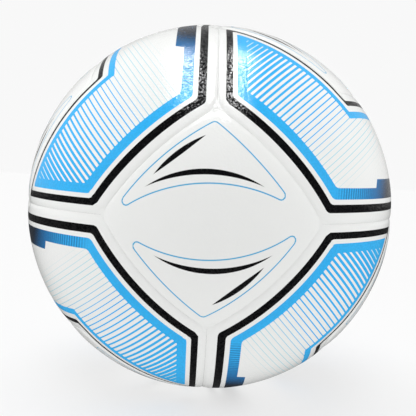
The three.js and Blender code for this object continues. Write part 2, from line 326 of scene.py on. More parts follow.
def steps_with_rims(length):
    """Fractions along a length: fine steps beside the seam at each end, and even ones between."""
    rim = RIM_WIDTH / length
    rim_count = round(RIM_WIDTH / RIM_CELL)
    middle_count = 2 * math.ceil((length - 2 * RIM_WIDTH) / CELL / 2)
    rim_steps = np.linspace(0, rim, rim_count + 1)
    middle = np.linspace(rim, 1 - rim, middle_count + 1)
    return np.concatenate([rim_steps[:-1], middle, 1 - rim_steps[-2::-1]])


def rim_drop(seams, points):
    """How far a panel lies under the ball's full radius: it is pillowed, and pressed in at its
    seams. At its corners the distances to two seams blend, which rounds the relief there."""
    distances = np.sort([seam.distance(points) for seam in seams], axis=0) * BALL_RADIUS
    blend = np.clip(1 - (distances[1] - distances[0]) / CORNER_BLEND, 0, 1)
    distance = distances[0] - blend ** 2 * CORNER_BLEND / 4
    groove = GROOVE_DEPTH * (1 - np.clip(distance / GROOVE_WIDTH, 0, 1)) ** 2
    return groove + PILLOW_DEPTH * (1 - np.clip(distance / PILLOW_WIDTH, 0, 1)) ** 2


def panel_faces(row_count, column_count, skipped):
    """Quads for the outside and inside of a panel, without the skipped cells, and for the walls
    round them."""
    numbers = np.arange(row_count * column_count).reshape(row_count, column_count)
    under = numbers.size
    quads = np.stack(
        [numbers[:-1, :-1], numbers[1:, :-1], numbers[1:, 1:], numbers[:-1, 1:]], axis=-1)
    kept = quads[~skipped] if skipped is not None else quads.reshape(-1, 4)
    edges = np.concatenate([kept[:, [i, (i + 1) % 4]] for i in range(4)])
    keys = edges[:, 0] * under + edges[:, 1]
    opposite = edges[:, 1] * under + edges[:, 0]
    rim = edges[~np.isin(keys, opposite)]
    walls = np.stack([rim[:, 1], rim[:, 0], rim[:, 0] + under, rim[:, 1] + under], axis=-1)
    return np.concatenate([kept, kept[:, ::-1] + under, walls])


def new_piece(name, points, faces):
    """A smoothly shaded object in the scene, with its sharp edges marked."""
    mesh = bpy.data.meshes.new(name)
    mesh.from_pydata(points, [], faces)
    mesh.polygons.foreach_set("use_smooth", np.ones(len(mesh.polygons), bool))
    mesh.set_sharp_from_angle(angle=SHARP_ANGLE)
    mesh.update()
    piece = bpy.data.objects.new(name, mesh)
    bpy.context.scene.collection.objects.link(piece)
    return piece


def piece_from(name, points, faces):
    """A new piece from arrays of points and quads, without the points that no quad uses, and
    the numbers of the points it does use."""
    used = np.unique(faces)
    renumbered = np.zeros(len(points), int)
    renumbered[used] = np.arange(len(used))
    return new_piece(name, points[used].tolist(), renumbered[faces].tolist()), used


def paint_fields(piece, fields):
    for name, values in fields.items():
        attribute = piece.data.attributes.new(name, "FLOAT", "POINT")
        attribute.data.foreach_set("value", values.astype(np.float32))


def foam_drop(edges, points):
    """How far a foam's outer face lies under the ball's full radius: its edges are skived."""
    distance = np.min([edge.distance(points) for edge in edges], axis=0) * BALL_RADIUS
    return FOAM_DEPTH + SKIVE_DEPTH * (1 - np.clip(distance / SKIVE_WIDTH, 0, 1)) ** 2


def panel(name, grid, drop, inner_depth, place, fields, skipped=None):
    """A closed panel over a grid of directions. Its outside lies `drop` under the ball's full
    radius, and its inside lies `inner_depth` under it. `place` turns it from where it is worked
    out to where it lies on the ball, and `fields` are values at the directions, for its print."""
    row_count, column_count = grid.shape[:2]
    placed = grid.reshape(-1, 3) @ place.T
    outer, inner = (BALL_RADIUS - drop)[:, None], (BALL_RADIUS - inner_depth)[:, None]
    faces = panel_faces(row_count, column_count, skipped)
    piece, used = piece_from(name, np.concatenate([placed * outer, placed * inner]), faces)
    paint_fields(piece, {key: np.tile(values, 2)[used] for key, values in fields.items()})
    return piece


def stand_in(piece, node, material):
    """Puts a fine piece in place of its CAD node."""
    piece.data.materials.append(material)
    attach(piece, "root")
    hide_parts(node)


# ---- Prints ---------------------------------------------------------------------------------
HATCH_CENTRE_LEAN = 54 * DEGREE          # from the front axis to the middle of the hatching
PRINT_SHIFT = -0.95 * DEGREE             # how far a square's print sits to the side of its middle

# The places and bows of a square's print are in degrees, right and up of the square's centre.
OUTLINE_APEX = (0.54, 26.87)
OUTLINE_LEFT = (-27.43, -1.22)
OUTLINE_RIGHT = (23.2, 3.87)
OUTLINE_BOWS = (1.56, -8.32, 0.42)       # of its left, lower and right sides
OUTLINE_ROUNDING = 1.2 * DEGREE

# The start and end of each crescent, and the bows of its outer and inner sides.
LONG_CRESCENT = ((-17.0, 8.3), (13.9, 9.6), 4.4, 2.9)
SHORT_CRESCENT = ((-15.0, 11.6), (-1.8, 22.6), 1.1, -0.4)


def square_direction(x, y):
    """The direction x degrees right and y degrees up of the front square's centre."""
    return front_direction(math.hypot(x, y) * DEGREE, math.atan2(y, x))


def print_outline():
    """The rounded three-sided frame in the upper half of a square's print."""
    apex, left, right = (
        square_direction(*corner) for corner in (OUTLINE_APEX, OUTLINE_LEFT, OUTLINE_RIGHT))
    corners = (apex, left, right)
    middle = unit(apex + left + right)
    sharp = [
        bowed_seam(corners[i], corners[(i + 1) % 3], middle, OUTLINE_BOWS[i] * DEGREE)
        for i in range(3)
    ]
    return inset(sharp, [OUTLINE_ROUNDING] * 3), middle


def crescent(points, start, end, outer_bow, inner_bow):
    """How far points are within the outer side and beyond the inner side of a tapered stroke,
    whose two sides bow by different amounts."""
    start, end = square_direction(*start), square_direction(*end)
    outer = bowed_seam(start, end, FRONT, outer_bow * DEGREE)
    inner = bowed_seam(start, end, FRONT, inner_bow * DEGREE)
    within = outer.angle - angle_between(points, outer.pole)
    beyond = angle_between(points, inner.pole) - inner.angle
    return within, beyond


def square_fields(directions):
    """The print's fields on a square, in millimetres over the cover. A half turn maps the print
    onto itself, so it is worked out on the upper half."""
    points = turned(directions, UP, -PRINT_SHIFT)
    folded = np.where((points @ UP > 0)[:, None], points, turned(points, FRONT, math.pi))
    outline, middle = print_outline()
    fields = {"frame": depth_inside(outline, folded, middle) + OUTLINE_ROUNDING}
    fields["long_within"], fields["long_beyond"] = crescent(folded, *LONG_CRESCENT)
    fields["short_within"], fields["short_beyond"] = crescent(folded, *SHORT_CRESCENT)
    return {name: values * BALL_RADIUS / MM for name, values in fields.items()}


def strip_fields(directions):
    """The print's fields on the first strip, in millimetres over the cover."""
    fields = {}
    for name, gaps in (
        ("black_edge", BLACK_EDGE), ("black_inner", BLACK_INNER), ("blue_edge", BLUE_EDGE),
        ("blue_inner", BLUE_INNER), ("block_inner", BLOCK_INNER),
    ):
        line = inset(STRIP_SEAMS, [gap * DEGREE for gap in gaps * 2])
        fields[name] = depth_inside(line, directions, STRIP_MIDDLE)

    # A half turn maps the print onto itself, so its hatching is worked out on the front half.
    front_half = (directions @ FRONT > 0)[:, None]
    folded = np.where(front_half, directions, half_turned(directions))
    centre = front_direction(HATCH_CENTRE_LEAN, QUARTER_TURN / 2)
    outward = unit((centre @ FRONT) * centre - FRONT)
    rightward = np.cross(outward, centre)
    fields["hatch_across"], fields["hatch_along"] = spread_flat(
        folded, centre, rightward, outward)

    # The block fills the far end of each stem border.
    stems = (STRIP_SEAMS[0], STRIP_SEAMS[5])
    fields["stem_distance"] = np.min([stem.distance(directions) for stem in stems], axis=0)
    fields["block_distance"] = np.min(
        [angle_between(directions, stem.end) for stem in stems], axis=0)
    return {name: values * BALL_RADIUS / MM for name, values in fields.items()}


# ---- Node materials -------------------------------------------------------------------------
INK_SOFTNESS = 0.16                      # how blurred the edge of a print is, in millimetres


class Wire:
    """A number, vector or colour on its way through a material, for use in plain arithmetic."""

    def __init__(self, tree, socket):
        self.tree = tree
        self.socket = socket

    def node(self, operation, *others, clamped=False):
        node = self.tree.nodes.new("ShaderNodeMath")
        node.operation = operation
        node.use_clamp = clamped
        for slot, value in zip(node.inputs, (self, *others)):
            connect(self.tree, value, slot)
        return Wire(self.tree, node.outputs[0])

    def __add__(self, other):
        return self.node("ADD", other)

    def __sub__(self, other):
        return self.node("SUBTRACT", other)

    def __rsub__(self, other):
        return self * -1.0 + other

    def __mul__(self, other):
        return self.node("MULTIPLY", other)

    def __truediv__(self, other):
        return self.node("DIVIDE", other)

    def __neg__(self):
        return self.node("MULTIPLY", -1.0)

    def absolute(self):
        return self.node("ABSOLUTE")

    def clamped(self):
        return self.node("ADD", 0.0, clamped=True)

    def at_least(self, other):
        return self.node("MAXIMUM", other)

    def at_most(self, other):
        return self.node("MINIMUM", other)

    def squared(self):
        return self.node("MULTIPLY", self)

    def root(self):
        return self.node("SQRT")

    def fraction(self):
        return self.node("FRACT")

    def inverse(self):
        return self * -1.0 + 1.0

    def ramp(self, start, end):
        """0 before start, 1 after end, and smooth between."""
        node = self.tree.nodes.new("ShaderNodeMapRange")
        node.interpolation_type = "SMOOTHSTEP"
        connect(self.tree, self, node.inputs["Value"])
        node.inputs["From Min"].default_value = start
        node.inputs["From Max"].default_value = end
        return Wire(self.tree, node.outputs["Result"])


def connect(tree, value, slot):
    if isinstance(value, Wire):
        tree.links.new(value.socket, slot)
    else:
        slot.default_value = value


def inside_of(depth):
    """1 where a depth is positive and 0 where it is negative, with a soft edge."""
    return (depth / INK_SOFTNESS + 0.5).clamped()


def field(tree, name):
    """The values that the mesh stores under a name."""
    node = tree.nodes.new("ShaderNodeAttribute")
    node.attribute_name = name
    return Wire(tree, node.outputs["Fac"])


def mixed(tree, share, first, second):
    """The first colour where share is 0 and the second where it is 1."""
    node = tree.nodes.new("ShaderNodeMix")
    node.data_type = "RGBA"
    connect(tree, share, node.inputs["Factor"])
    connect(tree, first, node.inputs["A"])
    connect(tree, second, node.inputs["B"])
    return Wire(tree, node.outputs["Result"])


def place_in(tree):
    """The place on the object, in metres."""
    node = tree.nodes.new("ShaderNodeTexCoord")
    return Wire(tree, node.outputs["Object"])


def noise(tree, size, detail=2.0):
    """Smooth noise from 0 to 1 whose blotches are about `size` across."""
    node = tree.nodes.new("ShaderNodeTexNoise")
    node.inputs["Scale"].default_value = 1 / size
    node.inputs["Detail"].default_value = detail
    connect(tree, place_in(tree), node.inputs["Vector"])
    return Wire(tree, node.outputs["Fac"])


def cells(tree, size):
    """Rounded cells about `size` across: 0 at the middle of each."""
    node = tree.nodes.new("ShaderNodeTexVoronoi")
    node.inputs["Scale"].default_value = 1 / size
    connect(tree, place_in(tree), node.inputs["Vector"])
    return Wire(tree, node.outputs["Distance"])


def new_material(name):
    """A material, its tree and its shader node."""
    material = bpy.data.materials.new(name)
    material.use_nodes = True
    return material, material.node_tree, material.node_tree.nodes["Principled BSDF"]


def bump(tree, shader, height, depth):
    node = tree.nodes.new("ShaderNodeBump")
    node.inputs["Distance"].default_value = depth
    connect(tree, height, node.inputs["Height"])
    tree.links.new(node.outputs["Normal"], shader.inputs["Normal"])


# ---- Materials of the cover -----------------------------------------------------------------
WHITE_FILM = (0.865, 0.87, 0.86, 1)
SHADED_FILM = (0.84, 0.85, 0.835, 1)
BLACK_INK = (0.0035, 0.0036, 0.0042, 1)
BLUE_INK = (0.028, 0.42, 0.88, 1)
LIGHT_BLUE_INK = (0.045, 0.47, 0.90, 1)
DEEP_BLUE_INK = (0.02, 0.15, 0.37, 1)
NAVY_INK = (0.005, 0.012, 0.025, 1)
PALE_LINE_INK = (0.30, 0.66, 0.76, 1)
PALE_SLIT_INK = (0.35, 0.75, 0.88, 1)
FRAME_INK = (0.08, 0.42, 0.70, 1)

# The size of each unevenness of the film and its inks.
WHITE_BLOTCH = 22 * MM
BLUE_BLOTCH = 15 * MM
RUBBED_BLOTCH = 9 * MM
GRAIN_CELL = 1.1 * MM
FINE_GRAIN = 0.3 * MM
GRAIN_DEPTH = 0.06 * MM
PEBBLE = 1.0 * MM

FILM_ROUGHNESS = 0.10                    # at the least; rubbed places have up to RUBBING more
RUBBING = 0.12
FILM_SPECULAR = 0.5
INK_DULLING = 0.45                       # how much less the dullest ink shines than the film
PEBBLE_SHINE = 0.95                      # how much more than that a pebble of the ink shines
FRAME_HALF_WIDTH = 0.31                  # millimetres


def film_white(tree):
    """The cover's own white, a little uneven."""
    return mixed(tree, noise(tree, WHITE_BLOTCH), WHITE_FILM, SHADED_FILM)


def film_finish(tree, shader, colour, ink):
    """Gloss polyurethane film with a fine pebble grain, on which ink shines unevenly."""
    tree.links.new(colour.socket, shader.inputs["Base Color"])
    grain = cells(tree, GRAIN_CELL) + noise(tree, FINE_GRAIN) * 0.3
    bump(tree, shader, grain, GRAIN_DEPTH)
    rubbed = noise(tree, RUBBED_BLOTCH, detail=4.0)
    connect(tree, rubbed * RUBBING + FILM_ROUGHNESS, shader.inputs["Roughness"])
    pebble = noise(tree, PEBBLE, detail=0.0).ramp(0.42, 0.58)
    shine = ink * (pebble * PEBBLE_SHINE - INK_DULLING) + FILM_SPECULAR
    connect(tree, shine, shader.inputs["Specular IOR Level"])


def white_cover_material():
    material, tree, shader = new_material("white_cover_film")
    frame_line = inside_of(-field(tree, "frame").absolute() + FRAME_HALF_WIDTH)
    long_stroke = field(tree, "long_within").at_most(field(tree, "long_beyond"))
    short_stroke = field(tree, "short_within").at_most(field(tree, "short_beyond"))
    stroke = inside_of(long_stroke.at_least(short_stroke))
    colour = mixed(tree, frame_line, film_white(tree), FRAME_INK)
    colour = mixed(tree, stroke, colour, BLACK_INK)
    film_finish(tree, shader, colour, stroke)
    return material


# The hatching, in millimetres over the cover. Its slits lie side by side across it.
HATCH_PERIOD = 2.75
HATCH_LEAN = 0.0625                      # sideways for each millimetre outward
HATCH_START = 2.4                        # where distances across it are counted from
HATCH_TIP = 51.4                         # from there back to the strip's sharp corner
SLIT_SHARE = 0.19                        # of a period that is white at the tip
SLIT_WIDENING = 0.0155                   # added for each millimetre away from the tip
SLIT_LEVELLING = 0.00007                 # taken off for each of those millimetres squared
LEAST_SLIT_SHARE = 0.2
GREATEST_SLIT_SHARE = 0.9
SLIT_ROUNDING = 0.45                     # of half a slit's width

# Where the strip's colours start and stop changing: across and along the hatching, from the
# stem seam, and from the far end of the stem, all in millimetres.
SLITS_WHITEN = (-62.0, -40.0)
LINES_PALE = (0.0, 20.0)
HATCH_FADES_ACROSS = (20.0, 38.0)
HATCH_FADES_ALONG = (20.0, 34.0)
STEM_BORDER_ENDS = (20.0, 32.0)
BORDER_DEEPENS = (34.0, 62.0)
CROSS_LINES_START = (34.0, 42.0)
CROSS_LINES_STOP = (62.0, 72.0)
BORDER_TURNS_NAVY = (20.0, 40.0)

CROSS_LINE_PERIOD = 1.75
CROSS_LINE_EDGE = (0.16, 0.3)            # of a period, from the middle between two cross lines
CROSS_LINE_DARKNESS = 0.7
BLOCK_LENGTH = 37.5                      # from the far end of the stem
BORDER_GLOSS = 0.7                       # how much of the black ink's uneven shine the blue has


def slit_depth(tree):
    """How far inside the nearest white slit of the hatching a point is, and how far across the
    hatching it is. Slits have rounded ends, and they widen away from the strip's sharp corner."""
    across = field(tree, "hatch_across") - field(tree, "hatch_along") * HATCH_LEAN - HATCH_START
    reach = across + HATCH_TIP
    share = reach * SLIT_WIDENING - reach.squared() * SLIT_LEVELLING + SLIT_SHARE
    share = share.at_least(LEAST_SLIT_SHARE).at_most(GREATEST_SLIT_SHARE)
    half_width = share * (HATCH_PERIOD / 2)
    rounding = half_width * SLIT_ROUNDING
    off_slit = ((across / HATCH_PERIOD).fraction() - 0.5).absolute() * HATCH_PERIOD
    beside = (off_slit - half_width + rounding).at_least(0.0)
    border = (rounding - field(tree, "blue_inner")).at_least(0.0)
    return rounding - (beside.squared() + border.squared()).root(), across


def printed_cover_material():
    material, tree, shader = new_material("printed_cover_film")
    white = film_white(tree)
    blue = mixed(tree, noise(tree, BLUE_BLOTCH, detail=3.0), BLUE_INK, LIGHT_BLUE_INK)

    # The hatched panel: blue with white slits, which turn into thin lines that fade out.
    slit, across = slit_depth(tree)
    along = field(tree, "hatch_along")
    slit_white = mixed(tree, across.ramp(*SLITS_WHITEN), PALE_SLIT_INK, white)
    line_blue = mixed(tree, across.ramp(*LINES_PALE), blue, PALE_LINE_INK)
    hatched = mixed(tree, inside_of(slit), line_blue, slit_white)
    faded = across.ramp(*HATCH_FADES_ACROSS).at_least(along.ramp(*HATCH_FADES_ALONG))
    hatched = mixed(tree, faded, hatched, white)

    # The stem's border darkens towards the block at its far end, with thin lines across it.
    reach = field(tree, "block_distance")
    off_stem = field(tree, "stem_distance").ramp(*STEM_BORDER_ENDS)
    darkened = mixed(tree, reach.ramp(*BORDER_DEEPENS), DEEP_BLUE_INK, blue)
    off_gap = ((reach / CROSS_LINE_PERIOD).fraction() - 0.5).absolute()
    cross_line = off_gap.ramp(*CROSS_LINE_EDGE)
    lined_zone = reach.ramp(*CROSS_LINES_START) * reach.ramp(*CROSS_LINES_STOP).inverse()
    lined = cross_line * lined_zone * CROSS_LINE_DARKNESS
    darkened = mixed(tree, lined, darkened, DEEP_BLUE_INK)
    darkened = mixed(tree, reach.ramp(*BORDER_TURNS_NAVY), NAVY_INK, darkened)
    border = mixed(tree, off_stem, darkened, blue)

    block = inside_of(-field(tree, "block_inner")) * inside_of(-reach + BLOCK_LENGTH)
    in_border = inside_of(-field(tree, "blue_inner")).at_least(block)
    colour = mixed(tree, in_border, hatched, border)
    in_print = inside_of(field(tree, "blue_edge"))
    colour = mixed(tree, in_print, white, colour)
    black_line = inside_of(field(tree, "black_edge")) * inside_of(-field(tree, "black_inner"))
    colour = mixed(tree, black_line, colour, BLACK_INK)
    ink = black_line.at_least(in_border * in_print * BORDER_GLOSS)
    film_finish(tree, shader, colour, ink)
    return material


# ---- Materials of the layers under the cover ------------------------------------------------
THREAD_TURNS = ((0.0, 0.6, 0.2), (0.9, 0.0, 1.1), (2.0, 1.3, 0.0))
THREAD_SPACING = 4.5 * MM
THREAD_WAVER = 1.5                       # how much the ridges of thread bend
THREAD_DEPTH = 0.2 * MM
GLUE = (0.38, 0.34, 0.26, 1)
THREAD = (0.80, 0.76, 0.66, 1)


def plain_material(name, light, dark, blotch, roughness, grain_size, grain_depth):
    """A matt material with uneven colour and a fine grain, for the layers under the cover."""
    material, tree, shader = new_material(name)
    colour = mixed(tree, noise(tree, blotch, detail=4.0), light, dark)
    tree.links.new(colour.socket, shader.inputs["Base Color"])
    connect(tree, noise(tree, blotch / 2) * 0.15 + roughness, shader.inputs["Roughness"])
    bump(tree, shader, cells(tree, grain_size), grain_depth)
    return material


def thread_material():
    """Thread wound in every direction and glued: three crossing sets of fine ridges."""
    material, tree, shader = new_material("glued_thread")
    ridges = None
    for turn in THREAD_TURNS:
        mapping = tree.nodes.new("ShaderNodeMapping")
        mapping.inputs["Rotation"].default_value = turn
        connect(tree, place_in(tree), mapping.inputs["Vector"])
        wave = tree.nodes.new("ShaderNodeTexWave")
        wave.inputs["Scale"].default_value = 1 / THREAD_SPACING
        wave.inputs["Distortion"].default_value = THREAD_WAVER
        tree.links.new(mapping.outputs["Vector"], wave.inputs["Vector"])
        ridge = Wire(tree, wave.outputs["Fac"])
        ridges = ridge if ridges is None else ridges.at_least(ridge)
    colour = mixed(tree, ridges, GLUE, THREAD)
    tree.links.new(colour.socket, shader.inputs["Base Color"])
    shader.inputs["Roughness"].default_value = 0.7
    bump(tree, shader, ridges, THREAD_DEPTH)
    return material


# ---- The cover ------------------------------------------------------------------------------
VALVE_HOLE_RADIUS = 4.5 * MM
HOLE_RING = 4                            # grid cells from the middle of a square to the hole
HOLE_REACH = 12                          # grid cells from the middle to where the grid is square
SIDE_NAMES = ("top", "left", "bottom", "right")
STRIP_NAMES = ("upper_right", "upper_left", "lower_left", "lower_right")


def square_place(centre, heading):
    """The turn that takes the front square, with its first corner up, to a centre and heading."""
    source = np.stack([np.cross(UP, FRONT), UP, FRONT], axis=1)
    target = np.stack([np.cross(heading, centre), heading, centre], axis=1)
    return target @ source.T


def square_places():
    places = {"front": square_place(FRONT, UP)}
    places["back"] = square_place(half_turned(FRONT), half_turned(UP))
    for i, name in enumerate(SIDE_NAMES):
        centre = turned(SIDE_CENTRE, FRONT, i * QUARTER_TURN)
        heading = turned(FRONT, centre, -SIDE_SQUARE_TURN)
        places[name] = square_place(centre, heading)
    return places


def pulled_round_hole(grid):
    """The square's grid with the cells near its middle pulled round a circular hole, and which
    of its cells lie in the hole."""
    count = grid.shape[0]
    steps = np.arange(count) - count // 2
    ring = np.maximum(np.abs(steps)[:, None], np.abs(steps)[None, :])
    centre = FRONT
    right = np.cross(UP, FRONT)
    x, y = spread_flat(grid, centre, right, UP)
    lean = np.hypot(x, y)
    heading = np.arctan2(y, x)
    hole = math.asin(VALVE_HOLE_RADIUS / BALL_RADIUS)
    weight = np.clip((HOLE_REACH - ring) / (HOLE_REACH - HOLE_RING), 0, 1)
    lean = weight * hole * ring / HOLE_RING + (1 - weight) * lean
    level = np.cos(heading)[..., None] * right + np.sin(heading)[..., None] * UP
    pulled = np.cos(lean)[..., None] * centre + np.sin(lean)[..., None] * level
    cell_ring = np.maximum.reduce([ring[:-1, :-1], ring[1:, :-1], ring[1:, 1:], ring[:-1, 1:]])
    return pulled, cell_ring <= HOLE_RING


def make_squares(cover, foam):
    length = abs(STRIP_SEAMS[9].sweep(STRIP_SEAMS[9].end)) * BALL_RADIUS
    steps = steps_with_rims(length)
    edges = inset(SQUARE_SEAMS, [SEAM_GAP / 2 / BALL_RADIUS] * 4)
    foam_steps = np.linspace(0, 1, 2 * round(length / FOAM_CELL / 2) + 1)
    foam_edges = inset(SQUARE_SEAMS, [FOAM_INSET / BALL_RADIUS] * 4)
    plain_grid = panel_grid(edges, SQUARE_CHAINS, steps, steps)
    plain_foam = panel_grid(foam_edges, SQUARE_CHAINS, foam_steps, foam_steps)
    for name, place in square_places().items():
        grid, skipped, foam_grid, foam_skipped = plain_grid, None, plain_foam, None
        if name == "back":
            grid, skipped = pulled_round_hole(plain_grid)
            foam_grid, foam_skipped = pulled_round_hole(plain_foam)
        directions = grid.reshape(-1, 3)
        drop = rim_drop(SQUARE_SEAMS, directions)
        piece = panel(
            f"square_{name}", grid, drop, drop + COVER_THICKNESS, place,
            square_fields(directions), skipped)
        stand_in(piece, f"cover_square_{name}", cover)
        drop = foam_drop(foam_edges, foam_grid.reshape(-1, 3))
        inner_depth = np.full(len(drop), FOAM_DEPTH + FOAM_THICKNESS)
        backing = panel(
            f"square_{name}_foam", foam_grid, drop, inner_depth, place, {}, foam_skipped)
        stand_in(backing, f"foam_square_{name}", foam)


def strip_rows():
    """The shares of a strip's length at which its rows lie. Its corners lie at whole sevenths,
    so each seventh starts and ends with a row."""
    rim = RIM_WIDTH / (7 * STRIP_SEVENTH)
    sevenths = np.linspace(0, 7, 7 * round(STRIP_SEVENTH / CELL) + 1)
    middle = np.interp(sevenths, (0, 1, 6, 7), (rim, 1 / 7, 6 / 7, 1 - rim))
    first = np.linspace(0, rim, STRIP_RIM_STEPS + 1)[:-1]
    last = np.linspace(1 - rim, 1, STRIP_RIM_STEPS + 1)[1:]
    return np.concatenate([first, middle, last])


def make_strips(cover, foam):
    rows = strip_rows()
    columns = steps_with_rims(STRIP_WIDTH)
    edges = inset(STRIP_SEAMS, [SEAM_GAP / 2 / BALL_RADIUS] * 10)
    grid = panel_grid(edges, STRIP_CHAINS, rows, columns)
    directions = grid.reshape(-1, 3)
    fields = strip_fields(directions)
    drop = rim_drop(STRIP_SEAMS, directions)

    foam_rows = np.linspace(0, 1, 7 * round(STRIP_SEVENTH / FOAM_CELL) + 1)
    foam_columns = np.linspace(0, 1, round(STRIP_WIDTH / FOAM_CELL) + 1)
    foam_edges = inset(STRIP_SEAMS, [FOAM_INSET / BALL_RADIUS] * 10)
    foam_grid = panel_grid(foam_edges, STRIP_CHAINS, foam_rows, foam_columns)
    skived_drop = foam_drop(foam_edges, foam_grid.reshape(-1, 3))
    inner_depth = np.full(len(skived_drop), FOAM_DEPTH + FOAM_THICKNESS)
    for i, name in enumerate(STRIP_NAMES):
        place = turned(np.eye(3), FRONT, i * QUARTER_TURN).T
        piece = panel(f"strip_{name}", grid, drop, drop + COVER_THICKNESS, place, fields)
        stand_in(piece, f"cover_strip_{name}", cover)
        backing = panel(f"strip_{name}_foam", foam_grid, skived_drop, inner_depth, place, {})
        stand_in(backing, f"foam_strip_{name}", foam)


# ---- The pieces turned round the valve's axis -----------------------------------------------
TURNS = 96                               # facets round the axis
CORNER_STEPS = 5
SHELL_STEPS = 60
PATCH_STEPS = 12
SHELL_RIM = 4.5                          # radius of a shell's opening, in millimetres
PATCH_RIM = 14.0                         # radius of the patch, in millimetres
RIM_ROUNDING = 0.2                       # of a shell's or the patch's rim, in millimetres

# Profiles round the valve's axis, in millimetres: a radius, a depth under the ball's surface and
# how much the corner there is rounded. They run outward at their deep side and back inward.
HOUSING_PROFILE = (
    (2.2, 10.83, 0.15), (12.99, 11.76, 0.3), (13.0, 10.54, 0.5), (8.6, 10.01, 0.0),
    (4.2, 9.7, 0.6), (4.2, 0.35, 0.35), (3.75, 0.35, 0.05), (3.62, 0.47, 0.05),
    (3.48, 0.35, 0.05), (3.2, 0.35, 0.12), (3.2, 1.75, 0.1), (2.2, 1.75, 0.1),
)
CORE_PROFILE = (
    (0.0, 9.35, 0.0), (1.9, 9.35, 0.5), (1.9, 1.45, 0.1), (2.9, 1.45, 0.15), (2.9, 0.5, 0.3),
    (1.7, 0.36, 0.3), (0.8, 1.2, 0.25), (0.8, 5.35, 0.1), (0.0, 5.35, 0.0),
)


def rounded_profile(corners):
    """The closed profile with each corner cut by a curve that starts and ends at its rounding."""
    places = np.array([(radius, depth) for radius, depth, rounding in corners])
    roundings = [rounding for radius, depth, rounding in corners]
    points = []
    for i, (place, rounding) in enumerate(zip(places, roundings)):
        before = places[i - 1] - place
        after = places[(i + 1) % len(places)] - place
        start = place + before / np.linalg.norm(before) * rounding
        end = place + after / np.linalg.norm(after) * rounding
        for t in np.linspace(0, 1, CORNER_STEPS if rounding > 0 else 1):
            points.append((1 - t) ** 2 * start + 2 * t * (1 - t) * place + t ** 2 * end)
    return points


def shell_profile(outer_depth, thickness, rim=SHELL_RIM, steps=SHELL_STEPS, cap=False):
    """The profile of a shell round the ball's centre, from its rim to the far side of the ball. A
    cap's rim lies on the far side too. Lengths are in millimetres."""
    full_radius = BALL_RADIUS / MM
    arcs = []
    for depth in (outer_depth + thickness, outer_depth):
        radius = full_radius - depth
        lean = math.asin(rim / radius)
        angles = np.linspace(math.pi - lean if cap else lean, math.pi, steps + 1)
        arcs.append([
            (radius * math.sin(angle), full_radius - radius * math.cos(angle),
             RIM_ROUNDING if angle == angles[0] else 0.0)
            for angle in angles
        ])
    inner, outer = arcs
    return inner + outer[::-1]


def turned_piece(name, corners):
    """A closed solid turned round the valve's axis. A point on the axis is made only once."""
    points, rings = [], []
    for radius, depth in rounded_profile(corners):
        turns = 1 if radius < 1e-6 else TURNS
        rings.append([len(points) + i * (turns > 1) for i in range(TURNS)])
        for i in range(turns):
            angle = 2 * math.pi * i / TURNS
            x, z = radius * MM * math.cos(angle), radius * MM * math.sin(angle)
            points.append((x, BALL_RADIUS - depth * MM, z))
    faces = []
    for i, ring in enumerate(rings):
        last = rings[i - 1]
        for j in range(TURNS):
            face = list(dict.fromkeys((ring[j - 1], ring[j], last[j], last[j - 1])))
            if len(face) > 2:
                faces.append(face)
    return new_piece(name, points, faces)


def make_turned_pieces():
    carcass = plain_material(
        "carcass_rubber", light=(0.032, 0.032, 0.034, 1), dark=(0.02, 0.02, 0.021, 1),
        blotch=20 * MM, roughness=0.6, grain_size=1.2 * MM, grain_depth=0.05 * MM)
    bladder = plain_material(
        "bladder_rubber", light=(0.022, 0.022, 0.024, 1), dark=(0.014, 0.014, 0.015, 1),
        blotch=30 * MM, roughness=0.4, grain_size=2.0 * MM, grain_depth=0.02 * MM)
    valve = plain_material(
        "valve_rubber", light=(0.022, 0.022, 0.023, 1), dark=(0.014, 0.014, 0.014, 1),
        blotch=5 * MM, roughness=0.45, grain_size=0.4 * MM, grain_depth=0.02 * MM)
    patch = plain_material(
        "patch_rubber", light=(0.17, 0.06, 0.035, 1), dark=(0.12, 0.04, 0.025, 1),
        blotch=6 * MM, roughness=0.6, grain_size=0.8 * MM, grain_depth=0.04 * MM)
    thread = thread_material()
    carcass_profile = shell_profile(outer_depth=5.8, thickness=1.2)
    winding_profile = shell_profile(outer_depth=7.3, thickness=0.6)
    bladder_profile = shell_profile(outer_depth=8.2, thickness=0.8)
    patch_profile = shell_profile(
        outer_depth=9.6, thickness=1.4, rim=PATCH_RIM, steps=PATCH_STEPS, cap=True)
    for node, profile, material, slot in (
        ("carcass", carcass_profile, carcass, "carcass_rubber"),
        ("thread_winding", winding_profile, thread, "polyester_thread"),
        ("bladder", bladder_profile, bladder, "bladder_rubber"),
        ("balance_patch", patch_profile, patch, "patch_rubber"),
        ("valve_housing", HOUSING_PROFILE, valve, "valve_rubber"),
        ("valve_core", CORE_PROFILE, valve, "valve_rubber"),
    ):
        stand_in(turned_piece(f"{node}_fine", profile), node, material)


# ---- Stage, lights and camera ---------------------------------------------------------------
ROOM_BRIGHTNESS = 0.94                   # of the room as the camera sees it
FLOOR_HALF = 3.0
FLOOR_GLOW = 1.10                        # of the floor as the ball sees it
FLOOR_SEEN_CUT = 0.467                   # taken off the glow for the camera
FLOOR_GLOSS_CUT = 1.06                   # and for gloss
UNSEEN_FLOOR = (0.02, 0.02, 0.02, 1)
SEEN_FLOOR = (0.24, 0.24, 0.24, 1)

# Which way each soft light shines, how strong it is and how many degrees across.
SOFT_LIGHTS = {
    "key_light": ((0.05, 0.8, -1.0), 0.75, 30),
    "top_light": ((0.13, 0.0, -1.0), 2.0, 50),
    "left_light": ((1.0, 0.0, 0.0), 2.4, 90),
    "right_light": ((-1.0, 0.0, 0.0), 2.8, 90),
}

